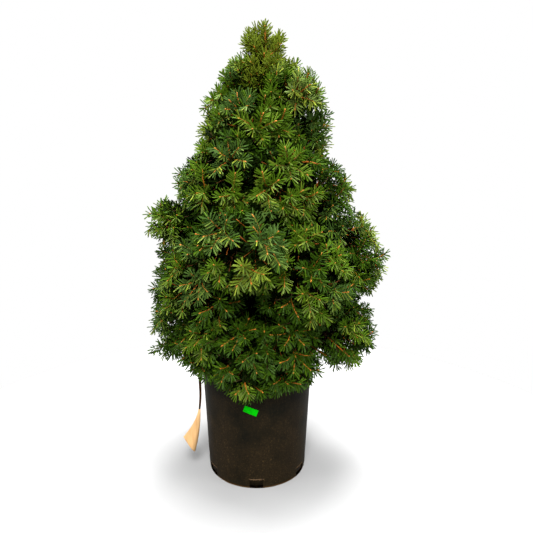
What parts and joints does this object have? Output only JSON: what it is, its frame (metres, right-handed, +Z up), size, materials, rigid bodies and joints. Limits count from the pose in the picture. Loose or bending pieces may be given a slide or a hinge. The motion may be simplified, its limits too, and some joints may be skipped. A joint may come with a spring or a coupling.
{
  "type": "potted dwarf spruce",
  "caption": "Dwarf conical spruce with dense short needles on one trunk, in its tapered black nursery pot, with a blank price label and a blank hanging tag.",
  "frame": {"origin": "middle of the pot's flat underside, on the ground that it stands on", "axes": "+Z up along the pot, -Y towards the front, the side with the price label, +X to the right"},
  "size_m": [0.461, 0.4278, 0.844],
  "materials": {
    "pot_plastic": "matte black-brown moulded plastic with a dusting of dried soil",
    "potting_mix": "moist bark and peat",
    "bark": "thin scaly grey-brown bark",
    "foliage": "short fine green needles on orange-brown twigs",
    "label": "fluorescent green sticker, blank",
    "tag_strap": "dark brown printed plastic strap",
    "tag_card": "blank cream plastic card"
  },
  "bodies": {
    "root": {"bough_flank_back_left": "bark", "bough_flank_back_right": "bark", "bough_flank_front": "bark", "bough_flank_front_left": "bark", "bough_flank_front_right": "bark", "bough_flank_left": "bark", "bough_flank_right": "bark", "bough_neck_back": "bark", "bough_neck_front": "bark", "bough_neck_left": "bark", "bough_neck_right": "bark", "bough_neck_right_low": "bark", "bough_shoulder_back_left": "bark", "bough_shoulder_back_right": "bark", "bough_shoulder_front_left": "bark", "bough_shoulder_front_right": "bark", "bough_shoulder_left": "bark", "bough_shoulder_right": "bark", "bough_skirt_back_left": "bark", "bough_skirt_back_right": "bark", "bough_skirt_front": "bark", "bough_skirt_front_left": "bark", "bough_skirt_front_right": "bark", "bough_skirt_left": "bark", "bough_skirt_right": "bark", "foliage_crown_tip": "foliage", "foliage_crown_whorl": "foliage", "foliage_flank_back_left": "foliage", "foliage_flank_back_right": "foliage", "foliage_flank_front": "foliage", "foliage_flank_front_left": "foliage", "foliage_flank_front_right": "foliage", "foliage_flank_left": "foliage", "foliage_flank_right": "foliage", "foliage_neck_back": "foliage", "foliage_neck_front": "foliage", "foliage_neck_left": "foliage", "foliage_neck_right": "foliage", "foliage_neck_right_low": "foliage", "foliage_shoulder_back_left": "foliage", "foliage_shoulder_back_right": "foliage", "foliage_shoulder_front_left": "foliage", "foliage_shoulder_front_right": "foliage", "foliage_shoulder_left": "foliage", "foliage_shoulder_right": "foliage", "foliage_skirt_back_left": "foliage", "foliage_skirt_back_right": "foliage", "foliage_skirt_front": "foliage", "foliage_skirt_front_left": "foliage", "foliage_skirt_front_right": "foliage", "foliage_skirt_left": "foliage", "foliage_skirt_right": "foliage", "pot": "pot_plastic", "price_label": "label", "soil": "potting_mix", "tag_card": "tag_card", "tag_strap": "tag_strap", "trunk": "bark"}
  },
  "joints": []
}
